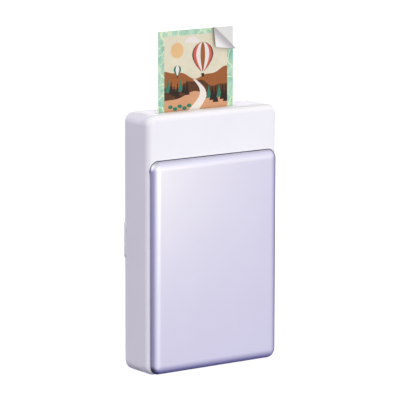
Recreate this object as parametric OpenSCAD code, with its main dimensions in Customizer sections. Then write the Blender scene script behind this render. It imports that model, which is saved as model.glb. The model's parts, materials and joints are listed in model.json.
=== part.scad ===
/* [Node] */
// Which sub-part to draw ["all", "rear_housing", "front_frame", "cover", "chassis"]

/* [Body] */
// Width of the body in mm
body_w = 87; // [70:0.5:110]
// Height of the body in mm
body_h = 143; // [120:0.5:170]
// Depth of the body without its cover in mm
body_d = 25; // [23:0.5:32]
// Radius of the four corners seen from the front in mm
body_r = 5.5; // [5:0.5:10]
// Radius of the front edge of the body in mm
front_fillet = 3.5; // [1:0.25:4]
// Radius of the rear edge of the body in mm
rear_fillet = 4; // [1:0.25:5]
// Thickness of the case walls in mm
wall = 2; // [1.5:0.1:2.5]
// How far behind the front plane the case parts, in mm
parting_depth = 7; // [6:0.25:8]

/* [Cover] */
// Height of the cap above the cover in mm
cap_h = 25; // [22:0.5:30]
// Bottom edge of the cover above the base in mm
cover_bottom = 0.5; // [0.5:0.25:4]
// Inset of the cover from the sides of the body in mm
cover_inset = 1.5; // [0.5:0.25:3]
// How far the cover stands out from the front plane in mm
cover_proud = 3; // [2:0.25:4]
// Width of the rounded border of the cover in mm
cover_border = 5; // [4:0.25:7]
// Thickness of the cover in mm
cover_wall = 1.6; // [1.2:0.1:2]
// Gap between the cover and the cap above it in mm
cover_seam = 0.35; // [0.3:0.05:1]
// Radius of the cover's hinge pins in mm
pin_r = 0.5; // [0.4:0.05:0.6]

/* [Key] */
// Length of the power key in mm
key_l = 19.5; // [12:0.5:26]
// Depth of the middle of the power key below the top of the body in mm
key_drop = 70.5; // [64:0.5:78]
// How far the power key stands out in mm
key_proud = 0.5; // [0.2:0.1:1]

/* [Print] */
// Width of a sheet in mm
sheet_w = 50; // [50:0.5:51]
// Length of a sheet in mm
sheet_l = 76; // [74:0.5:77]
// Middle of the paper path from the left side of the body in mm
path_in = 37.1; // [36:0.1:38]
// How far the standing print rises above the body in mm
print_rise = 44.1; // [33:0.1:45]
// Number of unused sheets in the tray
sheets = 9; // [1:1:9]

/* [Rollers and gears] */
// Radius of the rubber platen roller in mm
platen_r = 4; // [3:0.1:4.2]
// Depth of the platen below the top of the body in mm
platen_drop = 17; // [16:0.5:18]
// Radius of the pickup roller in mm
pickup_r = 4; // [3.5:0.1:4.2]
// Length of the pickup roller in mm
pickup_l = 16; // [10:1:20]
// Radius of the roller shafts in mm
shaft_r = 1.5; // [1:0.1:1.5]
// Module of the gears in mm
gear_m = 0.5; // [0.4:0.1:0.5]
// Teeth of the roller gears
roller_teeth = 30; // [30:2:30]
// Teeth of the idler's small wheel
idler_small = 20; // [20:2:20]
// Teeth of the idler's large wheel
idler_large = 30; // [30:2:30]
// Teeth of the motor pinion
pinion_teeth = 12; // [12:1:12]

/* [Hidden] */
eps = 0.01;
$fn = 64;

front_y = -body_d / 2;
rear_y = body_d / 2;
side_x = body_w / 2;
part_y = front_y + parting_depth;
rear_in = rear_y - wall;

// Cover
cover_top = body_h - cap_h;
cover_w = body_w - 2 * cover_inset;
cover_h = cover_top - cover_bottom;
cover_front = front_y - cover_proud;
cover_rear = front_y + 0.2;
cover_in = cover_front + cover_wall;
cover_depth = cover_rear - cover_front;
rim_y = front_y + 0.5;
cap_bottom = cover_top + cover_seam;
hinge_y = front_y;
hinge_z = cover_top - 3.2;
hinge_x = side_x - 10.5;
hinge_sweep = 3.6;
knuckle_r = 1.2;
knuckle_w = 2;
knuckle_gap = 0.3;
ear_w = 1.4;
pin_l = knuckle_w + 2 * knuckle_gap + 2 * ear_w - 0.1;
magnet_x = 24;
magnet_z = 6;
magnet_r = 2;
liner_t = 0.8;
liner_back = cover_in + liner_t;
liner_x = side_x - 9.5;

// Paper path
path_x = path_in - side_x;
path_l = path_x - sheet_w / 2;
path_r = path_x + sheet_w / 2;
print_rear = front_y + 7.95;
print_top = body_h + print_rise;
film_t = 0.14;
backing_t = 0.11;
sheet_front = print_rear - film_t - backing_t;
slot_side = 2.2;
slot_rear = print_rear + 0.65;
stack_rear = sheet_front - 0.25;
sheet_t = 0.2;
sheet_pitch = 0.22;
stack_front = stack_rear - sheets * sheet_pitch + (sheet_pitch - sheet_t);
tray_gap = 0.4;
tray_wall = 1.2;
tray_l = path_l - tray_gap;
tray_r = path_r + tray_gap;
floor_front = print_rear + 0.25;
floor_rear = floor_front + 1.2;

// Rollers and gears
platen_z = body_h - platen_drop;
platen_y = print_rear + 0.3 + platen_r;
pickup_y = platen_y;
pickup_flat = 0.8 * pickup_r;
roller_gear_r = gear_m * roller_teeth / 2;
idler_small_r = gear_m * idler_small / 2;
idler_large_r = gear_m * idler_large / 2;
pinion_pitch_r = gear_m * pinion_teeth / 2;
idler_z = platen_z - roller_gear_r - idler_small_r;
pickup_z = idler_z - roller_gear_r - idler_small_r;
motor_r = 4.9;
motor_dy = rear_in - 0.85 - motor_r - platen_y;
motor_reach = idler_large_r + pinion_pitch_r;
motor_dz = sqrt(motor_reach * motor_reach - motor_dy * motor_dy);
motor_y = platen_y + motor_dy;
motor_z = idler_z + motor_dz;
motor_angle = atan2(motor_dz, motor_dy);
run_gap = 0.04;
pressure = 25;

// Side cheeks, gear planes and the bracket outside them
cheek_t = 2;
cheek_l_in = tray_l - 0.4;
cheek_l = cheek_l_in - cheek_t;
cheek_r_in = tray_r + 0.4;
cheek_r = cheek_r_in + cheek_t;
cheek_low = pickup_z - 14;
cheek_high = platen_z + 12.5;
gear_t = 1.8;
gear_1 = cheek_r + 0.8;
gear_1_end = gear_1 + gear_t;
gear_2 = gear_1_end + 0.6;
gear_2_end = gear_2 + gear_t;
bracket_x = gear_2_end + 0.6;
bracket_t = 0.8;
motor_end = side_x - 3.5;
terminal_x = (bracket_x + bracket_t + motor_end) / 2;
terminal_half = (motor_end - bracket_x - bracket_t) / 4;
terminal_y = motor_y - motor_r - 2.3;
standoffs = [cheek_low + 3.3, cheek_high - 2];
standoff_r = 2;
standoff_screw = 0.6;

// Head and paper guide
sink_front = print_rear - 4.75;
sink_rear = print_rear - 1.15;
head_rear = print_rear - 0.45;
head_low = platen_z - 5;
head_high = platen_z + 5;
head_rod_y = sink_front + 1.7;
head_rod_z = head_low + 0.5;
head_rod_r = 0.78;
guide_rear = print_rear - 0.65;
guide_t = 1.2;

// Tray and pressure plate
stack_bottom = pickup_z + 5 - sheet_l;
plate_rear = stack_front - 0.3;
plate_front = plate_rear - 1;
plate_l = path_l + 2.4;
plate_r = path_r - 2.6;
plate_low = pickup_z - 37;
plate_high = pickup_z + 3;
plate_mid = (plate_low + plate_high) / 2;
peg_x = [plate_l + 3, plate_r - 3];
peg_z = [plate_low + 6, plate_high - 6];
peg_r = 1.2;

// Deck and posts
deck_front = front_y + 2.5;
deck_rear = deck_front + 1.1;
deck_top = platen_z - 15;
post_x = side_x - 5.3;
post_low = 11;
post_high = cheek_low - 3.6;
post_r = 2.6;
screw_r = 0.9;
head_r = 1.7;
foot_x = side_x - 13.5;
foot_in = 16;
foot_r = 4;

// Board
board_t = 1;
board_front = rear_in - 5.5;
board_rear = board_front + board_t;
board_l = 5 - side_x;
board_right = side_x - 6.5;
board_bottom = post_low + post_r + 0.6;
board_top = post_high - post_r - 0.8;
board_screw_x = [board_l + 4, board_right - 4];
board_screw_z = [board_bottom + 4, board_top - 4];
board_post_r = 2.2;
key_z = body_h - key_drop;
key_rib_y = rear_y - rear_fillet + 0.3;
switch_z = key_z - 4;
light_y = rear_y - rear_fillet + 1.1;
light_r = 0.7;
usb_z = 24;
usb_r = 1.6;
usb_half = 2.9;
usb_y = board_rear + usb_r;
ribbon_t = 0.3;
ribbon_x = wall + 0.2 - side_x;
ribbon_low = head_low + 1;
ribbon_high = head_high - 1;
ribbon_y = sink_rear - 0.4;
lead_r = 0.4;
plug_front = board_front - 2.6;
// Parts on the board: distance from its left edge and its lower edge, length, height and thickness
chips = [
  [26, 34, 10, 10, 1.2],
  [44, 36, 5, 6, 1],
  [14, 16, 6, 6, 1.4],
  [56, 20, 6, 6, 1.6],
  [32, 52, 10, 6, 1],
  [52, 8, 2, 2, 1.2],
  [56, 8, 2, 2, 1.2],
  [60, 8, 2, 2, 1.2]
];

// Battery
battery_l = path_l + 5.4;
battery_r = path_r - 6.6;
battery_front = floor_rear + 0.3;
battery_rear = board_front - 1.8;
battery_low = board_bottom + 18;
battery_top = board_top + 2;
battery_y = (battery_front + battery_rear) / 2;

// Corner of the film peeled back from the top right of the print
peel_top = 14.4;
peel_side = 12.6;
peel_tip = [-13.1, -10.5];
peel_steps = 12;
curl_r = 1;

// A rounded border, given as [reach beyond the corner's centre, y] from the rear plane to the front plane
function front_arc(r, f, y, n = 10) =
  [for (a = [0 : 90 / n : 90]) [r - f + f * cos(a), y + f - f * sin(a)]];
function rear_arc(r, f, y, n = 10) =
  [for (a = [0 : 90 / n : 90]) [r - f + f * sin(a), y - f + f * cos(a)]];
function cover_arc(reach, deep, r, y, n = 12) =
  [for (i = [0 : n]) [r - reach + reach * cos(i * 90 / n), y - deep * sin(i * 90 / n)]];

// One quarter of a slab with rounded corners, from its section
module slab(w, h, r, pts) {
  full = concat([[0, pts[0][1]]], pts, [[0, pts[len(pts) - 1][1]]]);
  y0 = min([for (p = pts) p[1]]);
  y1 = max([for (p = pts) p[1]]);
  for (sx = [-1, 1], sz = [-1, 1])
    translate([sx * (w / 2 - r), 0, sz * (h / 2 - r)])
      rotate([90, 0, 0])
        mirror([0, 0, 1])
          rotate(sx > 0 ? (sz > 0 ? 0 : -90) : (sz > 0 ? 90 : 180))
            rotate_extrude(angle = 90)
              polygon(full);
  for (sx = [0, 1])
    mirror([sx, 0, 0])
      translate([w / 2 - r, 0, r - h / 2])
        linear_extrude(h - 2 * r)
          polygon(full);
  for (sz = [0, 1])
    mirror([0, 0, sz])
      translate([w / 2 - r, 0, h / 2 - r])
        rotate([0, -90, 0])
          linear_extrude(w - 2 * r)
            polygon(full);
  translate([r - w / 2, y0, r - h / 2])
    cube([w - 2 * r, y1 - y0, h - 2 * r]);
}

module box(x0, x1, y0, y1, z0, z1) {
  translate([x0, y0, z0])
    cube([x1 - x0, y1 - y0, z1 - z0]);
}

module rod_x(x0, x1, y, z, r) {
  translate([x0, y, z])
    rotate([0, 90, 0])
      cylinder(h = x1 - x0, r = r);
}

module rod_y(x, y0, y1, z, r) {
  translate([x, y0, z])
    rotate([-90, 0, 0])
      cylinder(h = y1 - y0, r = r);
}

// A section drawn in y and z and carried along x
module along_x(x0, x1) {
  translate([x0, 0, 0])
    rotate([90, 0, 90])
      linear_extrude(x1 - x0)
        children();
}

module ring_yz(r, hole) {
  difference() {
    circle(r = r);
    circle(r = hole);
  }
}

// Outline of the whole case
module case_solid() {
  translate([0, 0, body_h / 2])
    slab(body_w, body_h, body_r,
      concat(rear_arc(body_r, rear_fillet, rear_y), front_arc(body_r, front_fillet, front_y)));
}

module case_hollow() {
  in_r = body_r - wall;
  translate([0, 0, body_h / 2])
    slab(body_w - 2 * wall, body_h - 2 * wall, in_r,
      concat(rear_arc(in_r, rear_fillet - wall, rear_in),
        front_arc(in_r, front_fillet - wall, front_y + wall)));
}

// Recess that the cover lies in, seen from the front, with a gap all round the cover
module recess(y0, y1, gap = cover_seam) {
  half = cover_w / 2 + gap;
  r = cover_border + gap;
  top = cover_top + gap;
  translate([0, y1, 0])
    rotate([90, 0, 0])
      linear_extrude(y1 - y0)
        union() {
          translate([-half, -1])
            square([2 * half, top + 1 - r]);
          translate([r - half, -1])
            square([2 * half - 2 * r, top + 1]);
          for (sx = [-1, 1])
            translate([sx * (half - r), top - r])
              circle(r = r);
        }
}

module post_at() {
  for (sx = [-1, 1], z = [post_low, post_high])
    translate([sx * post_x, 0, z])
      children();
}

// Outline of the power key seen from above, wrapped round the rear edge
module key_outline(out, thick) {
  cx = rear_fillet - side_x;
  cy = rear_y - rear_fillet;
  deep = 2 * rear_fillet;
  intersection() {
    difference() {
      union() {
        translate([cx, cy])
          circle(r = rear_fillet + out);
        translate([-side_x - out, cy - deep])
          square([rear_fillet + out, deep]);
      }
      translate([cx, cy])
        circle(r = rear_fillet + out - thick);
      translate([-side_x - out + thick, cy - deep - 1])
        square([deep + 1, deep + 1]);
    }
    translate([-side_x - 2, cy - deep - 1])
      square([rear_fillet + 2, 3 * rear_fillet + 1]);
  }
}

// Rounded slot that the key sits in, cut across the rear edge of the left side
module key_window(grow) {
  key_y0 = rear_y - rear_fillet - 0.1;
  key_y1 = rear_y + 0.9;
  ky = (key_y0 + key_y1) / 2;
  kr = (key_y1 - key_y0) / 2;
  along_x(-side_x - 3, -side_x + rear_fillet + 3 * grow)
    for (s = [0, 1])
      translate([ky, key_z])
        mirror([0, s]) {
          translate([0, key_l / 2 - kr])
            circle(r = kr + grow);
          translate([-kr - grow, 0])
            square([2 * (kr + grow), key_l / 2 - kr]);
        }
}

module usb_outline(grow) {
  for (s = [-1, 1])
    translate([0, s * usb_half])
      circle(r = usb_r + grow);
  translate([-usb_r - grow, -usb_half])
    square([2 * (usb_r + grow), 2 * usb_half]);
}

module rear_housing() {
  color("white")
    difference() {
      union() {
        difference() {
          case_solid();
          case_hollow();
          box(-side_x - 1, side_x + 1, front_y - 1, part_y, -1, body_h + 1);
        }
        post_at()
          rod_y(0, deck_rear, rear_in + eps, 0, post_r);
        for (x = board_screw_x, z = board_screw_z)
          rod_y(x, board_rear, rear_in + eps, z, board_post_r);
        for (s = [-1, 1])
          box(wall / 2 - side_x, board_l + 2.5, board_rear + 1.2, rear_in + eps,
            key_z + s * (key_l / 2 + 2.7) - 0.5, key_z + s * (key_l / 2 + 2.7) + 0.5);
      }
      post_at()
        rod_y(0, deck_rear - 1, deck_rear + 12.9, 0, screw_r - 0.15);
      for (x = board_screw_x, z = board_screw_z)
        rod_y(x, board_rear - 1, board_rear + 3.4, z, screw_r - 0.15);
      box(path_l - slot_side, path_r + slot_side, part_y - 1, slot_rear, body_h - wall - 1, body_h + 1);
      key_window(0.2);
      translate([side_x - 2 * wall, usb_y, usb_z])
        along_x(0, 2 * wall + 1)
          usb_outline(0.35);
      for (sx = [-1, 1], z = [foot_in, body_h - foot_in])
        rod_y(sx * foot_x, rear_y - 0.5, rear_y + 1, z, foot_r + 0.1);
    }
}

module front_frame() {
  color("white")
    difference() {
      union() {
        difference() {
          case_solid();
          case_hollow();
          box(-side_x - 1, side_x + 1, part_y, rear_y + 1, -1, body_h + 1);
          recess(front_y - 1, rim_y);
          intersection() {
            recess(front_y - 1, front_y + wall + eps);
            box(2 * wall - side_x, side_x - 2 * wall, front_y - 1, front_y + wall + eps,
              wall, cap_bottom + 1);
          }
          intersection() {
            recess(front_y - 1, part_y, 0.1);
            rod_x(-side_x, side_x, hinge_y, hinge_z, hinge_sweep);
          }
        }
        difference() {
          box(wall - side_x - eps, side_x - wall + eps, rim_y, deck_front, 2 * wall, deck_top + 0.2);
          box(cheek_l - 0.2, side_x - 8.3, front_y - 1, part_y, 8, deck_top - 6);
        }
        box(-side_x + 7.5, side_x - 7.5, rim_y, deck_front, wall - eps, 2 * wall + 1);
        for (sx = [-1, 1])
          translate([sx * hinge_x, 0, 0]) {
            rod_x(-knuckle_w / 2, knuckle_w / 2, hinge_y, hinge_z, knuckle_r);
            box(-knuckle_w / 2, knuckle_w / 2, hinge_y - 0.7, hinge_y + 0.7, deck_top - 4, hinge_z);
          }
        for (sx = [-1, 1])
          rod_y(sx * magnet_x, rim_y, deck_front, magnet_z, magnet_r + 1);
      }
      for (sx = [-1, 1])
        rod_x(sx * hinge_x - knuckle_w, sx * hinge_x + knuckle_w, hinge_y, hinge_z, pin_r + run_gap);
      post_at() {
        rod_y(0, rim_y - 1, deck_front + 1, 0, screw_r + 0.1);
        rod_y(0, rim_y - 1, rim_y + 1.1, 0, head_r + 0.15);
      }
      for (sx = [-1, 1])
        rod_y(sx * magnet_x, rim_y - 1, rim_y + 1.5, magnet_z, magnet_r + 0.05);
    }
}

module cover() {
  inner = cover_border - cover_wall;
  color("thistle")
    difference() {
      union() {
        translate([0, 0, cover_bottom + cover_h / 2])
          difference() {
            slab(cover_w, cover_h, cover_border,
              cover_arc(cover_border, cover_depth, cover_border, cover_rear));
            slab(cover_w - 2 * cover_wall, cover_h - 2 * cover_wall, inner,
              concat([[inner, cover_rear + 1]],
                cover_arc(inner, cover_depth - cover_wall, inner, cover_rear)));
          }
        for (sx = [-1, 1], s = [-1, 1])
          translate([sx * hinge_x + s * (knuckle_w / 2 + knuckle_gap + ear_w / 2), 0, 0]) {
            rod_x(-ear_w / 2, ear_w / 2, hinge_y, hinge_z, knuckle_r);
            box(-ear_w / 2, ear_w / 2, cover_in - 0.4, hinge_y, hinge_z - knuckle_r, hinge_z + knuckle_r);
          }
        for (sx = [-1, 1])
          rod_y(sx * magnet_x, cover_in - eps, cover_rear, magnet_z, magnet_r + 0.9);
      }
      for (sx = [-1, 1])
        translate([sx * hinge_x, 0, 0]) {
          rod_x(-knuckle_w / 2 - knuckle_gap, knuckle_w / 2 + knuckle_gap, hinge_y, hinge_z, knuckle_r + 0.3);
          rod_x(-pin_l / 2 - 0.1, pin_l / 2 + 0.1, hinge_y, hinge_z, pin_r);
        }
      for (sx = [-1, 1])
        rod_y(sx * magnet_x, cover_rear - 1, cover_rear + 1, magnet_z, magnet_r + 0.05);
    }
}

module cover_liner() {
  liner_low = cover_bottom + 11.5;
  rib_z = [liner_low + 8, liner_low + 22, liner_low + 36];
  color("gainsboro")
    difference() {
      union() {
        box(-liner_x, liner_x, cover_in, liner_back, liner_low, cover_top - 14);
        for (x = peg_x, z = peg_z)
          rod_y(x, liner_back - eps, plate_front - 1.79, z, 2 * peg_r);
        for (z = rib_z)
          box(path_l + 1.4, path_r - 1.6, liner_back - eps, liner_back + 0.5, z - 0.5, z + 0.5);
      }
      for (x = peg_x, z = peg_z)
        rod_y(x, liner_back, plate_front, z, peg_r + 0.1);
    }
}

module hinge_pins() {
  color("silver")
    for (sx = [-1, 1])
      rod_x(sx * hinge_x - pin_l / 2, sx * hinge_x + pin_l / 2, hinge_y, hinge_z, pin_r);
}

module cover_magnets() {
  color("silver")
    for (sx = [-1, 1])
      rod_y(sx * magnet_x, cover_rear - 1, cover_rear - 0.05, magnet_z, magnet_r);
}

module frame_magnets() {
  color("silver")
    for (sx = [-1, 1])
      rod_y(sx * magnet_x, rim_y + 0.05, rim_y + 1.5, magnet_z, magnet_r);
}

module rear_feet() {
  color("dimgray")
    for (sx = [-1, 1], z = [foot_in, body_h - foot_in])
      rod_y(sx * foot_x, rear_y - 0.5, rear_y + 0.6, z, foot_r);
}

module case_screws() {
  color("silver")
    post_at()
      difference() {
        union() {
          rod_y(0, rim_y + 0.1, rim_y + 1.1, 0, head_r);
          rod_y(0, rim_y + 1, deck_rear + 11.9, 0, screw_r - 0.15);
        }
        for (a = [0, 90])
          rotate([0, a, 0])
            box(-1, 1, rim_y, rim_y + 0.6, -0.2, 0.2);
      }
}

module power_key() {
  color("white")
    difference() {
      union() {
        intersection() {
          translate([0, 0, key_z - key_l / 2])
            linear_extrude(key_l)
              key_outline(key_proud, 1.6);
          key_window(0);
        }
        box(0.5 - side_x, 3.1 - side_x, key_rib_y, key_rib_y + 1, switch_z - 2, switch_z + 8);
        box(2.3 - side_x, 3.1 - side_x, board_rear + 0.4, key_rib_y + 1, switch_z - 2, switch_z + 8);
      }
      rod_x(-side_x - 2, -side_x + 0.7, light_y, key_z, light_r);
    }
}

module status_light() {
  color("aliceblue")
    rod_x(-side_x - key_proud + 0.1, -side_x + 0.7, light_y, key_z, light_r);
}

module power_switch() {
  color("dimgray")
    difference() {
      box(board_l + 0.1, board_l + 4.1, board_rear, board_rear + 2.2, switch_z - 3, switch_z + 3);
      box(board_l - 0.5, board_l + 1.3, board_rear + 0.4, board_rear + 1.8, switch_z - 1.3, switch_z + 1.3);
    }
}

module switch_plunger() {
  color("black")
    box(3.1 - side_x, board_l + 0.7, board_rear + 0.6, board_rear + 1.6, switch_z - 1.1, switch_z + 1.1);
}

module cheek_outline() {
  front = sink_front - 0.3;
  difference() {
    union() {
      translate([platen_y - 4.4, cheek_low])
        square([8.4, cheek_high - cheek_low]);
      translate([front, platen_z - 7])
        square([platen_y - front, 15]);
      translate([deck_rear, cheek_low])
        square([platen_y - deck_rear, 18]);
    }
    translate([platen_y, platen_z])
      circle(r = shaft_r + run_gap);
    translate([pickup_y, pickup_z])
      circle(r = shaft_r + run_gap);
    translate([head_rod_y, head_rod_z])
      circle(r = head_rod_r + 0.02);
  }
}

module chassis() {
  sensor_l = path_l + 3.4;
  roller_l = path_x - pickup_l / 2 - 0.8;
  color("dimgray")
    difference() {
      union() {
        box(wall + 0.4 - side_x, side_x - wall - 0.4, deck_front, deck_rear, 2 * wall + 0.6, deck_top);
        box(tray_l - tray_wall, tray_r + tray_wall, deck_rear - eps, floor_rear,
          stack_bottom - 1.6, cheek_low);
        box(cheek_l_in, cheek_r_in, floor_front, floor_rear, cheek_low - eps, platen_z - 5.5);
      }
      box(tray_l, tray_r, deck_front - 1, floor_front, stack_bottom - 0.4, deck_top + 1);
      box(roller_l, roller_l + pickup_l + 1.6, floor_front - 1, floor_rear + 1,
        pickup_z - pickup_r - 1.1, pickup_z + pickup_r + 1.1);
      box(path_x - 8, path_x + 8, floor_front - 1, floor_rear + 1, stack_bottom + 10, stack_bottom + 46);
      box(sensor_l, sensor_l + 20, floor_front - 1, floor_rear + 1, idler_z - 1.1, idler_z + 3.1);
      post_at()
        rod_y(0, deck_front - 1, deck_rear + 1, 0, screw_r + 0.1);
      for (sx = [-1, 1])
        rod_y(sx * magnet_x, deck_front - 1, deck_front + 0.3, magnet_z, magnet_r + 1.2);
    }
}

module side_plates() {
  color("silver")
    difference() {
      union() {
        for (x = [cheek_l, cheek_r_in])
          along_x(x, x + cheek_t)
            cheek_outline();
        for (z = standoffs)
          rod_x(cheek_r - eps, bracket_x, platen_y, z, standoff_r);
      }
      box(cheek_l - 1, cheek_l_in + 1, ribbon_y - 0.6, ribbon_y + 0.9, ribbon_low - 0.6, ribbon_high + 0.6);
      for (z = standoffs)
        rod_x(cheek_r + 1, bracket_x + 1, platen_y, z, standoff_screw);
    }
}

module paper_stack() {
  color("white")
    for (i = [0 : sheets - 1])
      translate([0, -i * sheet_pitch, 0])
        box(path_l, path_r, stack_rear - sheet_t, stack_rear, stack_bottom, stack_bottom + sheet_l);
}

module pressure_plate() {
  color("dimgray")
    union() {
      difference() {
        box(plate_l, plate_r, plate_front, plate_rear, plate_low, plate_high);
        box(path_x - 9, path_x + 9, plate_front - 1, plate_rear + 1, plate_low + 8, plate_high - 12);
      }
      for (x = peg_x, z = peg_z)
        rod_y(x, plate_front - 3.1, plate_front + eps, z, peg_r);
    }
}

module plate_pads() {
  color("sienna")
    for (x = [plate_l + 6, plate_r - 9])
      box(x, x + 3, plate_rear, plate_rear + 0.2, peg_z[0], peg_z[1]);
}

module plate_springs() {
  leaf_t = 0.25;
  foot = plate_front - 0.05;
  crown = liner_back + 0.05;
  color("silver")
    for (x = [plate_l + 4.8, plate_r - 11.2], s = [0, 1])
      translate([0, 0, plate_mid])
        mirror([0, 0, s])
          along_x(x, x + 6.6)
            polygon([[foot, -10], [foot - leaf_t, -10], [crown + leaf_t, -0.4], [crown, 0], [crown, 0.6],
              [crown + leaf_t, 0.4], [foot, -9]]);
}

module paper_guide() {
  front = guide_rear - guide_t;
  tab_low = idler_z - 0.5;
  color("dimgray")
    union() {
      along_x(tray_l + 0.1, tray_r - 0.1)
        polygon([[front - 1.2, pickup_z + 5.2], [front - 0.6, pickup_z + 5.2], [guide_rear, pickup_z + 9.4],
          [guide_rear, platen_z - 7.4], [front, platen_z - 7.4], [front, pickup_z + 10]]);
      box(cheek_l_in + 0.1, tray_l + 0.2, front, floor_front, tab_low, tab_low + 5);
      box(tray_r - 0.2, cheek_r_in - 0.1, front, floor_front, tab_low, tab_low + 5);
    }
}

module paper_sensor() {
  x0 = path_l + 5.4;
  z0 = idler_z - 0.9;
  color("black")
    difference() {
      box(x0, x0 + 7, floor_front + 0.1, floor_rear + 2.4, z0, z0 + 3.8);
      box(x0 + 2.6, x0 + 4.4, floor_front, floor_rear + 1.6, z0 - 0.6, z0 + 3);
    }
}

module pickup_roller() {
  color("darkslategray")
    along_x(path_x - pickup_l / 2, path_x + pickup_l / 2)
      translate([pickup_y, pickup_z])
        difference() {
          circle(r = pickup_r);
          circle(r = shaft_r);
          translate([-pickup_r - 1, -pickup_r])
            square([pickup_r + 1 - pickup_flat, 2 * pickup_r]);
        }
}

module pickup_shaft() {
  color("silver")
    rod_x(cheek_l - 1.2, gear_1_end + 0.3, pickup_y, pickup_z, shaft_r);
}

module platen_roller() {
  color("darkslategray")
    along_x(cheek_l_in + 0.6, cheek_r_in - 0.6)
      translate([platen_y, platen_z])
        ring_yz(platen_r, shaft_r);
}

module platen_shaft() {
  color("silver")
    rod_x(cheek_l - 1.2, gear_1_end + 0.3, platen_y, platen_z, shaft_r);
}

// Involute wheel with its centre on the origin and a tooth (or a gap) at the angle given
function inv_point(rb, t, a) = [rb * (cos(a) + t * PI / 180 * sin(a)), rb * (sin(a) - t * PI / 180 * cos(a))];
function flank(n, s) =
  let (
    rp = gear_m * n / 2,
    rb = rp * cos(pressure),
    ra = rp + 0.9 * gear_m,
    rr = rp - 1.15 * gear_m,
    half = 90 / n - 0.035 / rp * 180 / PI / 2,
    inv_p = tan(pressure) * 180 / PI - pressure,
    t_max = sqrt(ra * ra / (rb * rb) - 1) * 180 / PI,
    t_min = rr > rb ? sqrt(rr * rr / (rb * rb) - 1) * 180 / PI : 0,
    involute = [
      for (i = [0 : 6])
        let (t = t_min + (t_max - t_min) * i / 6, p = inv_point(rb, t, t)) [norm(p), atan2(p[1], p[0])]
    ],
    pts = [for (p = involute) [p[0], s * (half + inv_p - p[1])]],
    root = [[rr, pts[0][1]]]
  ) rr > rb ? pts : concat(root, pts);

function reversed(v) = [for (i = [len(v) - 1 : -1 : 0]) v[i]];

module wheel(n, phase, gap = false) {
  start = gap ? 180 / n : 0;
  pts = [for (k = [0 : n - 1]) let (c = phase + start + k * 360 / n)
    each [for (p = concat(flank(n, -1), reversed(flank(n, 1)))) p[0] * [cos(c + p[1]), sin(c + p[1])]]];
  polygon(pts);
}

module roller_gear(y, z, phase) {
  along_x(gear_1, gear_1_end)
    translate([y, z])
      difference() {
        wheel(roller_teeth, phase, true);
        circle(r = shaft_r);
        for (a = [0 : 60 : 300])
          rotate(a)
            translate([roller_gear_r * 0.62, 0])
              circle(r = 1);
      }
}

module pickup_gear() {
  color("ivory")
    roller_gear(pickup_y, pickup_z, 90);
}

module platen_gear() {
  color("ivory")
    roller_gear(platen_y, platen_z, -90);
}

module idler_gear() {
  color("ivory")
    difference() {
      union() {
        along_x(gear_1, gear_1_end)
          translate([platen_y, idler_z])
            wheel(idler_small, 90);
        along_x(gear_1_end - eps, gear_2 + eps)
          translate([platen_y, idler_z])
            circle(r = idler_small_r - 0.8);
        along_x(gear_2, gear_2_end)
          translate([platen_y, idler_z])
            wheel(idler_large, motor_angle);
      }
      rod_x(gear_1 - 1, gear_2_end + 1, platen_y, idler_z, 1 + run_gap);
    }
}

module idler_post() {
  color("silver")
    union() {
      rod_x(cheek_r, bracket_x - 0.02, platen_y, idler_z, 1);
      rod_x(cheek_r, gear_1 - 0.1, platen_y, idler_z, 1.8);
    }
}

module motor_pinion() {
  color("goldenrod")
    union() {
      along_x(gear_2, gear_2_end)
        translate([motor_y, motor_z])
          wheel(pinion_teeth, motor_angle + 180, true);
      rod_x(gear_2_end - eps, bracket_x + bracket_t + 4, motor_y, motor_z, 0.75);
    }
}

module gear_plate() {
  color("silver")
    difference() {
      along_x(bracket_x, bracket_x + bracket_t)
        union() {
          translate([platen_y - 4, cheek_low + 0.5])
            square([8, cheek_high - cheek_low]);
          translate([motor_y, motor_z])
            circle(r = motor_r + 0.1);
          translate([platen_y, motor_z - motor_r])
            square([motor_y - platen_y, 2 * motor_r]);
        }
      rod_x(bracket_x - 1, bracket_x + 2, motor_y, motor_z, 1.4);
      for (z = standoffs)
        rod_x(bracket_x - 1, bracket_x + 2, platen_y, z, standoff_screw + 0.15);
      for (z = [pickup_z, pickup_z + 6])
        rod_x(bracket_x - 1, bracket_x + 2, platen_y, z, 1.6);
    }
}

module gear_plate_screws() {
  face = bracket_x + bracket_t;
  color("silver")
    for (z = standoffs)
      difference() {
        union() {
          rod_x(face, face + 0.9, platen_y, z, 1.4);
          rod_x(face - 3.8, face + 0.1, platen_y, z, standoff_screw);
        }
        box(face + 0.5, face + 2, platen_y - 2, platen_y + 2, z - 0.2, z + 0.2);
      }
}

module motor() {
  color("silver")
    difference() {
      union() {
        rod_x(bracket_x + bracket_t, motor_end, motor_y, motor_z, motor_r);
        rod_x(motor_end - eps, motor_end + 0.5, motor_y, motor_z, 2);
        box(terminal_x - terminal_half, terminal_x + terminal_half, terminal_y, motor_y,
          motor_z - 3, motor_z + 3);
      }
      rod_x(bracket_x - 1, bracket_x + bracket_t + 5, motor_y, motor_z, 0.8);
    }
}

module motor_leads() {
  half = 0.4 * terminal_half;
  low = board_top - 12;
  color("orange")
    translate([terminal_x, 0, 0])
      union() {
        box(-half, half, terminal_y - ribbon_t, terminal_y, low, motor_z + 2);
        box(-half, half, terminal_y - ribbon_t, plug_front + 1, low - ribbon_t, low);
      }
}

module clip(z) {
  along_x(cheek_l - 0.7, cheek_l - 0.3)
    translate([platen_y, z])
      difference() {
        circle(r = shaft_r + 1.1);
        circle(r = shaft_r);
        translate([-0.8, 0])
          square([1.6, 4]);
      }
}

module pickup_clip() {
  color("silver")
    clip(pickup_z);
}

module platen_clip() {
  color("silver")
    clip(platen_z);
}

module print_head() {
  color("ivory")
    box(cheek_l_in + 0.6, cheek_r_in - 0.6, sink_rear, head_rear, head_low, head_high);
}

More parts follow.
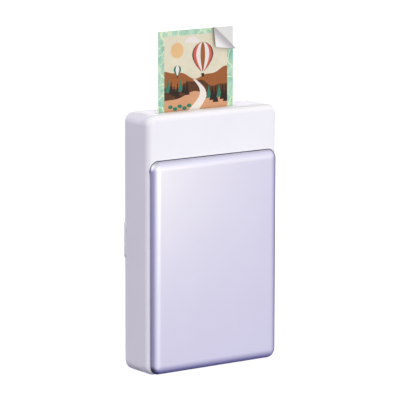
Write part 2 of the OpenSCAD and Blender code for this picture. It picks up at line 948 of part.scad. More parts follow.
module heat_sink() {
  fins = [platen_z - 2.4, platen_z + 0.4, platen_z + 3.2];
  color("silver")
    difference() {
      box(cheek_l_in + 0.3, cheek_r_in - 0.3, sink_front, sink_rear, head_low - 1, head_high + 1.4);
      for (z = fins)
        box(cheek_l_in - 1, cheek_r_in + 1, sink_front - 0.7, sink_front + 1.1, z - 0.7, z + 0.7);
      box(cheek_l_in - 1, cheek_l_in + 6, ribbon_y - 0.3, sink_rear + 1, ribbon_low - 0.5, ribbon_high + 0.5);
      rod_x(cheek_l, cheek_r, head_rod_y, head_rod_z, head_rod_r + 0.04);
    }
}

module head_rod() {
  color("silver")
    rod_x(cheek_l - 0.6, cheek_r + 0.6, head_rod_y, head_rod_z, head_rod_r);
}

module head_springs() {
  tip = sink_front - 0.04;
  back = sink_front - 1.2;
  color("silver")
    for (x = [path_x - 13, path_x + 13])
      along_x(x - 3, x + 3)
        polygon([[back, head_high + 2.4], [back + 0.2, head_high + 2.4], [back + 0.2, head_high],
          [tip, head_high - 3.2], [tip, head_high - 4.1], [tip - 0.26, head_high - 3.2],
          [back, head_high - 0.2]]);
}

module head_ribbon() {
  plug_z = board_top - 10;
  y1 = plug_front + 0.4;
  color("orange")
    union() {
      box(ribbon_x, cheek_l_in + 5, ribbon_y, ribbon_y + ribbon_t, ribbon_low, ribbon_high);
      box(ribbon_x, ribbon_x + ribbon_t, ribbon_y, y1, ribbon_low, ribbon_high);
      box(ribbon_x, ribbon_x + ribbon_t, y1 - 6, y1, plug_z + 3, ribbon_high);
      box(ribbon_x, cheek_l + 4.4, y1 - ribbon_t, y1, plug_z + 3, plug_z + 8);
      box(cheek_l - 2.4, cheek_l + 4.4, y1 - ribbon_t, y1, plug_z + 1, plug_z + 3 + eps);
    }
}

module main_board() {
  color("darkgreen")
    difference() {
      box(board_l, board_right, board_front, board_rear, board_bottom, board_top);
      for (x = board_screw_x, z = board_screw_z)
        rod_y(x, board_front - 1, board_rear + 1, z, 1);
    }
}

module board_chips() {
  color("black")
    for (c = chips)
      translate([board_l + c[0], board_rear, board_bottom + c[1]])
        cube([c[2], c[4], c[3]]);
}

module board_connectors() {
  ribbon_z = board_top - 10;
  power_x = gear_1 - 6.2;
  motor_x = terminal_x - 2.5;
  color("white")
    difference() {
      union() {
        box(cheek_l - 3, cheek_l + 5, plug_front, board_front, ribbon_z - 1, ribbon_z + 1.6);
        box(power_x, power_x + 6, plug_front, board_front, board_top - 4.5, board_top - 0.5);
        box(motor_x, motor_x + 5, plug_front, board_front, board_top - 14, board_top - 10);
      }
      box(cheek_l - 2.6, cheek_l + 4.6, plug_front - 1, plug_front + 0.5, ribbon_z, ribbon_z + 2);
      box(power_x + 0.8, power_x + 5.2, plug_front + 0.5, board_front - 0.5, board_top - 3.5, board_top);
      box(motor_x + 0.5, motor_x + 4.5, plug_front - 1, board_front - 0.8,
        board_top - 13.2, board_top - 10.8);
    }
}

module board_shield() {
  x0 = board_l + 8.5;
  z0 = board_top - 28;
  color("silver")
    difference() {
      box(x0, x0 + 16, board_rear, board_rear + 1.8, z0, z0 + 20);
      box(x0 + 0.3, x0 + 15.7, board_rear - 1, board_rear + 1.6, z0 + 0.3, z0 + 19.7);
    }
}

module board_screws() {
  color("silver")
    for (x = board_screw_x, z = board_screw_z)
      difference() {
        union() {
          rod_y(x, board_front - 0.9, board_front, z, 1.8);
          rod_y(x, board_front - 0.1, board_rear + 3, z, screw_r - 0.15);
        }
        box(x - 1.3, x + 1.3, board_front - 1, board_front - 0.5, z - 0.2, z + 0.2);
      }
}

module battery() {
  color("silver")
    union() {
      box(battery_l, battery_r, battery_front, battery_rear, battery_low, battery_top);
      box(battery_l + 4, battery_r - 4, battery_y - 1.8, battery_y + 1.8, battery_top - eps, battery_top + 2);
    }
}

module battery_tape() {
  color("khaki")
    box(battery_l, battery_r, floor_rear, battery_front, battery_low + 2, battery_low + 7);
}

module battery_leads() {
  for (i = [0, 1]) {
    x1 = gear_1 - 4.2 + 2 * i;
    z = battery_top + 0.5 + i;
    color(i == 0 ? "red" : "black")
      union() {
        rod_x(battery_r - 4, x1 + lead_r, battery_y, z, lead_r);
        rod_y(x1, battery_y - lead_r, board_front - 1.3 + lead_r, z, lead_r);
        translate([x1, board_front - 1.3, board_top - 3])
          cylinder(h = z - board_top + 3, r = lead_r);
      }
  }
}

module usb_shell() {
  color("silver")
    translate([0, usb_y, usb_z])
      difference() {
        along_x(side_x - 7.5, side_x - 0.6)
          usb_outline(0);
        along_x(side_x - 6.9, side_x)
          usb_outline(-0.3);
      }
}

module usb_tongue() {
  x0 = side_x - 6.9;
  color("black")
    union() {
      box(x0, side_x - 1.4, usb_y - 0.35, usb_y + 0.35, usb_z - 3.2, usb_z + 3.2);
      box(x0, x0 + 0.8, usb_y - 1.2, usb_y + 1.2, usb_z - 2.8, usb_z + 2.8);
    }
}

module print_backing() {
  color("gainsboro")
    box(path_l, path_r, print_rear - backing_t, print_rear, print_top - sheet_l, print_top);
}

module print_film() {
  color("honeydew")
    translate([0, print_rear - backing_t, print_top])
      rotate([90, 0, 0])
        linear_extrude(film_t)
          polygon([[path_l, 0], [path_r - peel_top, 0], [path_r, -peel_side],
            [path_r, -sheet_l], [path_l, -sheet_l]]);
}

// Corner of the film, bent over a straight fold and hanging towards the front
module print_peel() {
  fold = atan2(peel_side, peel_top);
  length = norm([peel_top, peel_side]);
  outer = curl_r + film_t / 2;
  inner = curl_r - film_t / 2;
  bend = [for (i = [0 : peel_steps]) 180 * i / peel_steps];
  section = concat([for (a = bend) outer * [cos(a), sin(a)]],
    [[-outer, -length], [-inner, -length]],
    [for (i = [peel_steps : -1 : 0]) inner * [cos(bend[i]), sin(bend[i])]]);
  color("white")
    intersection() {
      translate([path_r - peel_top, print_rear - backing_t - film_t / 2 - curl_r, print_top])
        rotate([0, fold, 0])
          along_x(-length, 2 * length)
            polygon(section);
      translate([path_r, 0, print_top])
        rotate([90, 0, 0])
          linear_extrude(body_d / 2)
            polygon([[-peel_top, 0], peel_tip, [0, -peel_side], [0, 0]]);
    }
}

rear_housing();
front_frame();
cover();
cover_liner();
hinge_pins();
cover_magnets();
frame_magnets();
rear_feet();
case_screws();
power_key();
status_light();
power_switch();
switch_plunger();
chassis();
side_plates();
paper_stack();
pressure_plate();
plate_pads();
plate_springs();
paper_guide();
paper_sensor();
pickup_roller();
pickup_shaft();
pickup_gear();
platen_roller();
platen_shaft();
platen_gear();
pickup_clip();
platen_clip();
print_head();
heat_sink();
head_rod();
head_springs();
head_ribbon();
motor();
motor_pinion();
idler_gear();
idler_post();
gear_plate();
gear_plate_screws();
motor_leads();
main_board();
board_chips();
board_connectors();
board_shield();
board_screws();
battery();
battery_tape();
battery_leads();
usb_shell();
usb_tongue();
print_backing();
print_film();
print_peel();
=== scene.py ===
"""Compact photo printer: camera, light, finishes and the print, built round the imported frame."""

import json
import math

import bmesh
import bpy
from mathutils import Matrix, Vector


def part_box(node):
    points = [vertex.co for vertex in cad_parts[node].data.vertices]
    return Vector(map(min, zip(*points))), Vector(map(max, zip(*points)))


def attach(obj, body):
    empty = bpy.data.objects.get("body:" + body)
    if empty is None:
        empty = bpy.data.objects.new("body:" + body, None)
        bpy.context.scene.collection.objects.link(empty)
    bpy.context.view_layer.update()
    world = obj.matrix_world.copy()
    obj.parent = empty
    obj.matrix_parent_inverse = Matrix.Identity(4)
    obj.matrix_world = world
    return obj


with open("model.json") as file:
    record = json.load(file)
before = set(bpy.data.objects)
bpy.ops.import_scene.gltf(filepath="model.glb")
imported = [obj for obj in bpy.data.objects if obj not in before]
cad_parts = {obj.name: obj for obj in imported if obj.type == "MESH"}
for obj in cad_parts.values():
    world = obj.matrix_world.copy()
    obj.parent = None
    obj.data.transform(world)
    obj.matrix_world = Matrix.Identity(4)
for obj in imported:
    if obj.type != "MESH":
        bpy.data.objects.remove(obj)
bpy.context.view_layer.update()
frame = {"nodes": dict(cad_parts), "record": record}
MM = 0.001

# The print's film, and its peeled corner: the fold's length along the top and down the side, and how far
# from the fold the curled film is in shade, in mm
FILM_LOW, FILM_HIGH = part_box("print_film")
FOLD_TOP = 14.4
FOLD_SIDE = 12.6
CURL_SHADE = 4.5

# ---------------------------------------------------------------- camera

# Fitted to the photo. The offset moves the target across and up in the picture, and the lens is in mm
CAMERA_AZIMUTH = math.radians(-35.637)
CAMERA_PITCH = math.radians(9.926)
CAMERA_ROLL = math.radians(0.106)
CAMERA_DISTANCE = 1.733
CAMERA_TARGET = Vector((0, 0, 0.070))
CAMERA_OFFSET = Vector((0.037, -21.18)) * MM
CAMERA_LENS = 283.1
CLIP_START = 0.05
CLIP_END = 50


def make_camera():
    """Camera that looks at the target from its azimuth and pitch, with a little roll."""
    azimuth, pitch, roll = CAMERA_AZIMUTH, CAMERA_PITCH, CAMERA_ROLL
    level = Vector((math.cos(azimuth), math.sin(azimuth), 0))
    back = Vector((
        math.sin(azimuth) * math.cos(pitch), -math.cos(azimuth) * math.cos(pitch), math.sin(pitch)
    ))
    upward = back.cross(level)
    right = math.cos(roll) * level + math.sin(roll) * upward
    up = -math.sin(roll) * level + math.cos(roll) * upward
    data = bpy.data.cameras.new("camera")
    data.lens = CAMERA_LENS
    data.clip_start = CLIP_START
    data.clip_end = CLIP_END
    camera = bpy.data.objects.new("camera", data)
    bpy.context.collection.objects.link(camera)
    place = CAMERA_TARGET - CAMERA_OFFSET.x * right - CAMERA_OFFSET.y * up + CAMERA_DISTANCE * back
    camera.matrix_world = Matrix.Translation(place) @ Matrix((right, up, back)).transposed().to_4x4()
    bpy.context.scene.camera = camera


make_camera()

# ---------------------------------------------------------------- materials

WHITE = (1, 1, 1, 1)

# Most of a noise texture's values lie between these two
NOISE_LOW, NOISE_HIGH = 0.3, 0.7

# A Mix node has sockets of the same names for numbers, vectors and colours: these are the ones for colours
MIX_FACTOR, MIX_A, MIX_B, MIX_RESULT = 0, 6, 7, 2


def srgb(code):
    """A colour from its six hex digits."""
    parts = [int(code[i:i + 2], 16) / 255 for i in (0, 2, 4)]
    return tuple(c / 12.92 if c <= 0.04045 else ((c + 0.055) / 1.055) ** 2.4 for c in parts) + (1,)


def shade(color, factor):
    """A colour made darker or lighter by a factor, short of white."""
    return tuple(min(1, c * factor) for c in color[:3]) + (1,)


class Shader:
    """A material being wired: one Principled shader and short calls for the nodes that feed it.

    Scales of textures are in repeats to a metre.
    """

    def __init__(self, name, rough=0.4, metal=0.0, gloss=0.5):
        self.material = bpy.data.materials.new(name)
        self.material.use_nodes = True
        self.tree = self.material.node_tree
        self.inputs = self.tree.nodes["Principled BSDF"].inputs
        self.inputs["Roughness"].default_value = rough
        self.inputs["Metallic"].default_value = metal
        self.inputs["Specular IOR Level"].default_value = gloss
        self.place = self.tree.nodes.new("ShaderNodeTexCoord").outputs["Object"]

    def link(self, start, end):
        """A wire from one node's output to another's input."""
        self.tree.links.new(start, end)

    def feed(self, socket, value):
        """Sets an input to a plain value, or wires it to an output."""
        if isinstance(value, (tuple, float)):
            socket.default_value = value
        else:
            self.link(value, socket)

    def node(self, kind, **settings):
        """A new node of a kind, with its settings."""
        node = self.tree.nodes.new(kind)
        for key, value in settings.items():
            setattr(node, key, value)
        return node

    def stretched(self, scales):
        """Object coordinates scaled apart along the three axes."""
        node = self.node("ShaderNodeMapping")
        node.inputs["Scale"].default_value = scales
        self.link(self.place, node.inputs["Vector"])
        return node.outputs["Vector"]

    def noise(self, scale, detail=3, rough=0.5, place=None, warp=0.0):
        """A factor that drifts from place to place."""
        node = self.node("ShaderNodeTexNoise")
        node.inputs["Scale"].default_value = scale
        node.inputs["Detail"].default_value = detail
        node.inputs["Roughness"].default_value = rough
        node.inputs["Distortion"].default_value = warp
        self.link(place or self.place, node.inputs["Vector"])
        return node.outputs["Fac"]

    def ramp(self, factor, stops):
        """Colours along a factor, from pairs of position and colour."""
        node = self.node("ShaderNodeValToRGB")
        marks = node.color_ramp.elements
        while len(marks) < len(stops):
            marks.new(0.5)
        for mark, (position, color) in zip(marks, stops):
            mark.position = position
            mark.color = color
        self.link(factor, node.inputs["Fac"])
        return node.outputs["Color"]

    def mix(self, factor, first, second, blend="MIX"):
        """Two colours blended by a factor."""
        node = self.node("ShaderNodeMix", data_type="RGBA", blend_type=blend)
        self.feed(node.inputs[MIX_FACTOR], factor)
        self.feed(node.inputs[MIX_A], first)
        self.feed(node.inputs[MIX_B], second)
        return node.outputs[MIX_RESULT]

    def span(self, factor, low, high, start=NOISE_LOW, end=NOISE_HIGH):
        """A factor between start and end brought to the range from low to high."""
        node = self.node("ShaderNodeMapRange")
        for key, value in (("From Min", start), ("From Max", end), ("To Min", low), ("To Max", high)):
            node.inputs[key].default_value = value
        self.link(factor, node.inputs["Value"])
        return node.outputs["Result"]

    def clouds(self, base, dark, light, scale, detail=3, rough=0.5):
        """Soft clouds of a base colour between two factors of it."""
        noise = self.noise(scale, detail, rough)
        return self.ramp(noise, [(NOISE_LOW, shade(base, dark)), (NOISE_HIGH, shade(base, light))])

    def color(self, value):
        self.link(value, self.inputs["Base Color"])

    def rough(self, value):
        self.link(value, self.inputs["Roughness"])

    def bump(self, height, strength, depth):
        """Relief from a height, with its depth in mm."""
        node = self.node("ShaderNodeBump")
        node.inputs["Strength"].default_value = strength
        node.inputs["Distance"].default_value = depth * MM
        self.link(height, node.inputs["Height"])
        self.link(node.outputs["Normal"], self.inputs["Normal"])


def moulded(name, code, rough=0.35, grain=1800, depth=0.004, mottle=0.03):
    """Moulded plastic: faint cloudiness in colour and gloss over a fine spark-eroded grain."""
    shader = Shader(name, rough)
    shader.color(shader.clouds(srgb(code), 1 - mottle, 1 + mottle, scale=45))
    shader.rough(shader.span(shader.noise(160, 4), rough - 0.04, rough + 0.05))
    shader.bump(shader.noise(grain, 2, 0.6), 0.35, depth)
    return shader.material


def pearl(name, code, edge, rough=0.34):
    """Pearl paint: a fine flake in the gloss over a faint cloud in the tone, tinted at a slant."""
    shader = Shader(name, rough, metal=0.95)
    shader.inputs["Specular Tint"].default_value = srgb(edge)
    shader.color(shader.clouds(srgb(code), 0.985, 1.01, scale=40))
    shader.rough(shader.span(shader.noise(6000, 2, 0.7), rough - 0.05, rough + 0.05))
    shader.bump(shader.noise(7000, 1, 0.6), 0.1, 0.001)
    return shader.material


def metal(name, code, rough=0.3, scales=(40, 2500, 2500), depth=0.003):
    """Metal. Uneven scales along the axes give drawn lines or turned rings, and even ones a fine grain."""
    shader = Shader(name, rough, metal=1.0)
    lines = shader.noise(1, 3, 0.6, shader.stretched(scales))
    shader.color(shader.clouds(srgb(code), 0.9, 1.06, scale=90))
    shader.rough(shader.span(lines, rough - 0.07, rough + 0.12))
    shader.bump(lines, 0.25, depth)
    return shader.material


def rubber(name, code, rough=0.75):
    """Rubber or felt: blotchy, dull and pitted."""
    shader = Shader(name, rough, gloss=0.3)
    shader.color(shader.clouds(srgb(code), 0.85, 1.2, scale=220, detail=4))
    shader.rough(shader.span(shader.noise(500), rough - 0.08, rough + 0.1))
    shader.bump(shader.noise(3500, 3, 0.7), 0.5, 0.01)
    return shader.material


def paper(name, code, rough=0.45, fibre=0.02):
    """Paper: a fibrous tone over a fine tooth."""
    shader = Shader(name, rough)
    shader.color(shader.clouds(srgb(code), 1 - fibre, 1 + fibre, scale=350, detail=5, rough=0.6))
    shader.rough(shader.span(shader.noise(900, 3), rough - 0.05, rough + 0.05))
    shader.bump(shader.noise(2600, 4, 0.7), 0.25, 0.004)
    return shader.material


def ink(name, code):
    """A printed colour: soft drift of tone under a glossy film, with a faint dither."""
    shader = Shader(name, 0.3, gloss=0.25)
    tone = shader.clouds(srgb(code), 0.95, 1.05, scale=140)
    dither = shader.ramp(shader.noise(4200, 1), [(0.35, (0.94, 0.94, 0.94, 1)), (0.65, WHITE)])
    shader.color(shader.mix(1.0, tone, dither, blend="MULTIPLY"))
    shader.bump(shader.noise(1500, 2), 0.2, 0.003)
    return shader.material


def curled(name):
    """Back of the peeled corner: white film, painted grey toward the fold as shade where it curls over."""
    shader = Shader(name, 0.4)
    fold = FILM_HIGH - Vector((FOLD_TOP, 0, 0)) * MM
    away = Vector((-FOLD_SIDE, 0, -FOLD_TOP)).normalized()
    gap = shader.node("ShaderNodeVectorMath", operation="SUBTRACT")
    shader.link(shader.place, gap.inputs[0])
    gap.inputs[1].default_value = fold
    reach = shader.node("ShaderNodeVectorMath", operation="DOT_PRODUCT")
    shader.link(gap.outputs["Vector"], reach.inputs[0])
    reach.inputs[1].default_value = away
    # Painted shade: grey at the fold, fading to white over CURL_SHADE mm away from it
    turn = shader.span(reach.outputs["Value"], 0.0, 1.0, 0.0, CURL_SHADE * MM)
    painted_shade_greys = ((0.0, "b9b4b2"), (0.3, "c6c2c3"), (0.65, "e2dfe0"), (1.0, "f8f7f2"))
    shader.color(shader.ramp(turn, [(place, srgb(code)) for place, code in painted_shade_greys]))
    shader.rough(shader.span(shader.noise(900, 3), 0.35, 0.45))
    shader.bump(shader.noise(2600, 4, 0.7), 0.25, 0.004)
    return shader.material


# Veins of the border: how far they bend, in mm, how many cells they cross in a metre, and the part of a
# cell over which one fades out
VEIN_BEND = 12
VEIN_CELLS = 120
VEIN_WIDTH = (0.015, 0.06)


def watercolour(name):
    """The print's border: mint wash in uneven blots with thin pale veins running through it."""
    shader = Shader(name, 0.3)
    blots = shader.noise(130, 5, 0.55, warp=0.8)
    wash = shader.ramp(blots, [(0.32, srgb("82c4a9")), (0.5, srgb("a9d5b8")), (0.68, srgb("cce9cb"))])
    drift = shader.node("ShaderNodeCombineXYZ")
    shader.link(shader.noise(70, 2), drift.inputs[0])
    shader.link(blots, drift.inputs[2])
    bent = shader.node("ShaderNodeVectorMath", operation="MULTIPLY_ADD")
    shader.link(drift.outputs[0], bent.inputs[0])
    bent.inputs[1].default_value = (VEIN_BEND * MM, 0, VEIN_BEND * MM)
    shader.link(shader.place, bent.inputs[2])
    cells = shader.node("ShaderNodeTexVoronoi", feature="DISTANCE_TO_EDGE")
    cells.inputs["Scale"].default_value = VEIN_CELLS
    shader.link(bent.outputs[0], cells.inputs["Vector"])
    vein = shader.span(cells.outputs["Distance"], 1.0, 0.0, *VEIN_WIDTH)
    shader.color(shader.mix(vein, wash, srgb("e4f4c8")))
    shader.bump(shader.noise(1500, 2), 0.2, 0.003)
    return shader.material


def circuit_board(name):
    """Green solder mask with copper tracks showing through as slightly raised, lighter lines."""
    shader = Shader(name, 0.3)
    tracks = shader.node("ShaderNodeTexBrick")
    tracks.inputs["Scale"].default_value = 160
    tracks.inputs["Mortar Size"].default_value = 0.03
    turned = shader.node("ShaderNodeMapping")
    turned.inputs["Rotation"].default_value = (math.pi / 2, 0, 0)
    shader.link(shader.place, turned.inputs["Vector"])
    shader.link(turned.outputs["Vector"], tracks.inputs["Vector"])
    shader.color(shader.mix(tracks.outputs["Fac"], srgb("0d4a2a"), srgb("1c6b3d")))
    shader.bump(tracks.outputs["Fac"], 0.4, 0.02)
    return shader.material


def flat_cable(name, code):
    """Film cable: parallel conductors under a thin amber film."""
    shader = Shader(name, 0.25)
    wave = shader.node("ShaderNodeTexWave", wave_type="BANDS", bands_direction="DIAGONAL")
    wave.inputs["Scale"].default_value = 220
    shader.link(shader.place, wave.inputs["Vector"])
    base = srgb(code)
    shader.color(shader.ramp(wave.outputs["Fac"], [(0.35, shade(base, 0.6)), (0.6, shade(base, 1.1))]))
    shader.bump(wave.outputs["Fac"], 0.3, 0.02)
    return shader.material


def lamp_lens(name):
    """Clear light pipe over a cool white diode that is on."""
    shader = Shader(name, 0.12)
    glow = shader.ramp(shader.noise(900), [(NOISE_LOW, srgb("e6f2ff")), (NOISE_HIGH, WHITE)])
    shader.color(glow)
    shader.link(glow, shader.inputs["Emission Color"])
    shader.inputs["Emission Strength"].default_value = 0.08
    shader.inputs["Coat Weight"].default_value = 0.6
    return shader.material


# The finish of every material slot in the record, and of the peeled corner: what makes it, and from what
FINISHES = {
    "white_case": (moulded, {"code": "f7f6f9", "rough": 0.34, "mottle": 0.015}),
    "lilac_cover": (pearl, {"code": "dbdae9", "edge": "8c88b8"}),
    "grey_plastic": (moulded, {"code": "c9c9d0", "rough": 0.5}),
    "dark_plastic": (moulded, {"code": "2b2b2f", "rough": 0.5, "depth": 0.01, "mottle": 0.1}),
    "light": (lamp_lens, {}),
    "rubber": (rubber, {"code": "2a2a2c"}),
    "foot_rubber": (rubber, {"code": "8a8a92", "rough": 0.8}),
    "steel": (metal, {"code": "c4c5c8"}),
    "nickel": (metal, {"code": "cfcdc8", "rough": 0.18, "scales": (900, 900, 900)}),
    "aluminium": (metal, {"code": "d0d2d6", "rough": 0.35}),
    "brass": (metal, {"code": "c9a14e", "rough": 0.25, "scales": (2500, 300, 300)}),
    "gear_plastic": (moulded, {"code": "ece6d4", "rough": 0.42}),
    "ceramic": (moulded, {"code": "e9e4da", "rough": 0.25, "grain": 3000}),
    "ribbon": (flat_cable, {"code": "b8752a"}),
    "wires": (moulded, {"code": "a01c1c", "rough": 0.45}),
    "board": (circuit_board, {}),
    "chips": (moulded, {"code": "18181a", "rough": 0.5, "grain": 2500, "depth": 0.01}),
    "connector": (moulded, {"code": "e8e2d2", "rough": 0.4}),
    "cell": (metal, {"code": "a9acb3", "rough": 0.4, "scales": (300, 300, 300), "depth": 0.02}),
    "tape": (paper, {"code": "c9a869", "rough": 0.4, "fibre": 0.08}),
    "sheet": (paper, {"code": "f6f6f4"}),
    "liner_sheet": (paper, {"code": "e4e5df", "rough": 0.4}),
    "peel": (curled, {}),
    "picture": (watercolour, {}),
    "pad": (rubber, {"code": "6b3a22", "rough": 0.9}),
}
made = {}


def finish_of(slot):
    """The material of a slot, made once."""
    if slot not in made:
        maker, settings = FINISHES[slot]
        made[slot] = maker(slot, **settings)
    return made[slot]


# ---------------------------------------------------------------- CAD nodes

# Width of the small rounding on a piece's edges, in mm
SOFT_EDGE = {
    "rear_housing": 0.12, "front_frame": 0.12, "cover": 0.12, "power_key": 0.45, "rear_feet": 0.25,
    "status_light": 0.15, "chassis": 0.15, "cover_liner": 0.15, "pressure_plate": 0.15, "heat_sink": 0.1,
    "usb_shell": 0.05, "motor": 0.2, "battery": 0.6, "board_shield": 0.15, "case_screws": 0.12,
}

# Corners nearer than this, in mm, are joined before the rounding, which takes edges that turn by more than
# this angle, in degrees
WELD = 0.0005
EDGE_ANGLE = 40


def dress(name, piece, slot):
    """Gives a CAD node its finish, and rounds its edges where they show."""
    piece.data.materials.clear()
    piece.data.materials.append(finish_of(slot))
    if name in SOFT_EDGE:
        weld = piece.modifiers.new("weld", "WELD")
        weld.merge_threshold = WELD * MM
        bevel = piece.modifiers.new("soft_edge", "BEVEL")
        bevel.width = SOFT_EDGE[name] * MM
        bevel.segments = 3
        bevel.limit_method = "ANGLE"
        bevel.angle_limit = math.radians(EDGE_ANGLE)
        bevel.harden_normals = True


for part in frame["record"]["subparts"]:
    node = part["node"]
    dress(node, frame["nodes"][node], "peel" if node == "print_peel" else part["material_slot"])

# ---------------------------------------------------------------- picture on the print

# The mint border's width, the gap kept to the fold and the page's size, in mm. The picture is drawn in mm
# across and down from the page's top left corner. Each shape of ink begins just behind the film's face and
# stands one step further off it than the one before
BORDER_SIDE = 4.0
BORDER_TOP = 3.0
FOLD_GAP = 0.2
PAGE_WIDTH = (FILM_HIGH.x - FILM_LOW.x) / MM
PAGE_HEIGHT = (FILM_HIGH.z - FILM_LOW.z) / MM
INK_BACK = 0.002 * MM
INK_STEP = 0.003 * MM
INK_WELD = 0.001 * MM


def picture_window():
    """Edge of the picture: inside the border, and short of the fold."""
    left, right = BORDER_SIDE, PAGE_WIDTH - BORDER_SIDE
    low = PAGE_HEIGHT - BORDER_TOP
    slope = FOLD_SIDE / FOLD_TOP
    across = PAGE_WIDTH - FOLD_TOP + BORDER_TOP / slope
    down = FOLD_SIDE - BORDER_SIDE * slope
    return [
        (left, BORDER_TOP),
        (across - FOLD_GAP, BORDER_TOP),
        (right, down + FOLD_GAP),
        (right, low),
        (left, low),
    ]


def inward(point, start, end):
    """How far a point lies inside a window's side from start to end, times that side's length."""
    return (end[0] - start[0]) * (point[1] - start[1]) - (end[1] - start[1]) * (point[0] - start[0])


def clipped(points, window):
    """The points of an outline that lie inside a convex window, with new ones where it crosses the edge."""
    for start, end in zip(window, window[1:] + window[:1]):
        kept = []
        for point, following in zip(points, points[1:] + points[:1]):
            here, there = inward(point, start, end), inward(following, start, end)
            if here >= 0:
                kept.append(point)
            if (here >= 0) != (there >= 0):
                part = here / (here - there)
                kept.append(tuple(p + part * (q - p) for p, q in zip(point, following)))
        points = kept
    return points


def oval(x, y, half_width, half_height, steps=36):
    """An oval about x, y."""
    turns = [math.radians(360 * i / steps) for i in range(steps)]
    return [(x + half_width * math.cos(turn), y + half_height * math.sin(turn)) for turn in turns]


def ridge(level, rise, waves, shift, steps=60):
    """Skyline of a range of hills with everything under it: one long wave with a shorter one on it."""
    top = []
    for i in range(steps + 1):
        turn = 2 * math.pi * i / steps
        swell = math.sin(waves * turn + shift) + 0.35 * math.sin(2.7 * waves * turn + 1.3 * shift)
        top.append((PAGE_WIDTH * i / steps, level - rise * swell))
    return top + [(PAGE_WIDTH, PAGE_HEIGHT), (0, PAGE_HEIGHT)]


def conifer(x, foot, high, wide, tiers=4):
    """A fir of stepped tiers. Each steps in at its foot, to where the next begins."""
    step_in = 0.4
    side = [(0, 0)]
    for i in range(tiers):
        down = high * (i + 1) / tiers
        side.append((wide * (i + 1) / tiers / 2, down))
        side.append((wide * (i + step_in) / tiers / 2, down))
    top = foot - high
    return [(x + dx, top + dy) for dx, dy in side] + [(x - dx, top + dy) for dx, dy in reversed(side[1:])]


def gores(x, y, radius, count):
    """A balloon's envelope in upright strips, from left to right: a dome over a neck that narrows."""
    neck, narrowing = 1.25 * radius, 0.82

    def seam(i):
        """The seam on the left of a strip, from the crown down to the mouth."""
        side = math.sin(math.pi * (i / count - 0.5)) * radius
        angles = [math.radians(angle) for angle in range(90, -1, -9)]
        dome = [(x + side * math.cos(angle), y - radius * math.sin(angle)) for angle in angles]
        parts = (0.2, 0.4, 0.6, 0.8, 1.0)
        return dome + [(x + side * (1 - narrowing * part ** 1.6), y + neck * part) for part in parts]

    return [seam(i) + seam(i + 1)[::-1] for i in range(count)]


def winding(x, y, length, swing=5, bends=0.21, drift=0.005, width=1.6, widening=0.34):
    """A river down the page from its spring at x, y. It swings, drifts left and widens to the right."""
    downs = range(0, length, 2)
    left = [(x + swing * math.sin(bends * down) - drift * down * down, y + down) for down in downs]
    right = [(bank + width + widening * (level - y), level) for bank, level in reversed(left)]
    return left + right


def box(left, top, right, low, taper=0.0):
    """An upright box, its foot narrower by the taper at each side."""
    return [(left, top), (right, top), (right - taper, low), (left + taper, low)]


INKS = {
    "cream": "ebe3c6", "glow": "f0c58a", "white": "f2ebe0", "tan": "d8a077", "rust": "a5612f",
    "brown": "5c3617", "umber": "2a170b", "teal": "2f7f66", "coral": "df6454",
}
inks = {}
drawn = []
WINDOW = picture_window()


def draw(name, tint, outline):
    """One printed shape, as a film of ink that stands just proud of the shapes drawn before it."""
    points = clipped(outline, WINDOW)
    if len(points) < 3:
        return
    if tint not in inks:
        inks[tint] = ink("ink_" + tint, INKS[tint])
    film = bmesh.new()
    back = FILM_LOW.y - INK_BACK
    thick = INK_STEP * (len(drawn) + 1)
    drawn.append(name)
    ring = [film.verts.new((FILM_LOW.x + x * MM, back, FILM_HIGH.z - y * MM)) for x, y in points]
    face = film.faces.new(ring)
    raised = bmesh.ops.extrude_face_region(film, geom=[face])["geom"]
    front = [part for part in raised if isinstance(part, bmesh.types.BMVert)]
    bmesh.ops.translate(film, vec=(0, -thick, 0), verts=front)
    bmesh.ops.remove_doubles(film, verts=film.verts, dist=INK_WELD)
    bmesh.ops.triangulate(film, faces=film.faces)
    bmesh.ops.recalc_face_normals(film, faces=film.faces)
    mesh = bpy.data.meshes.new(name)
    film.to_mesh(mesh)
    film.free()
    mesh.materials.append(inks[tint])
    piece = bpy.data.objects.new(name, mesh)
    bpy.context.collection.objects.link(piece)
    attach(piece, "print")


# Clouds by their middle and size, and the inks of the balloons' strips from left to right
CLOUDS = ((20, 6.4, 1.6), (22.4, 5.8, 2.2), (25, 6.6, 1.7), (38.5, 26, 2.0), (41.4, 25.2, 2.6))
BALLOON = ("umber", "coral", "white", "rust", "white", "coral", "umber")
SMALL_BALLOON = ("teal", "white", "teal")


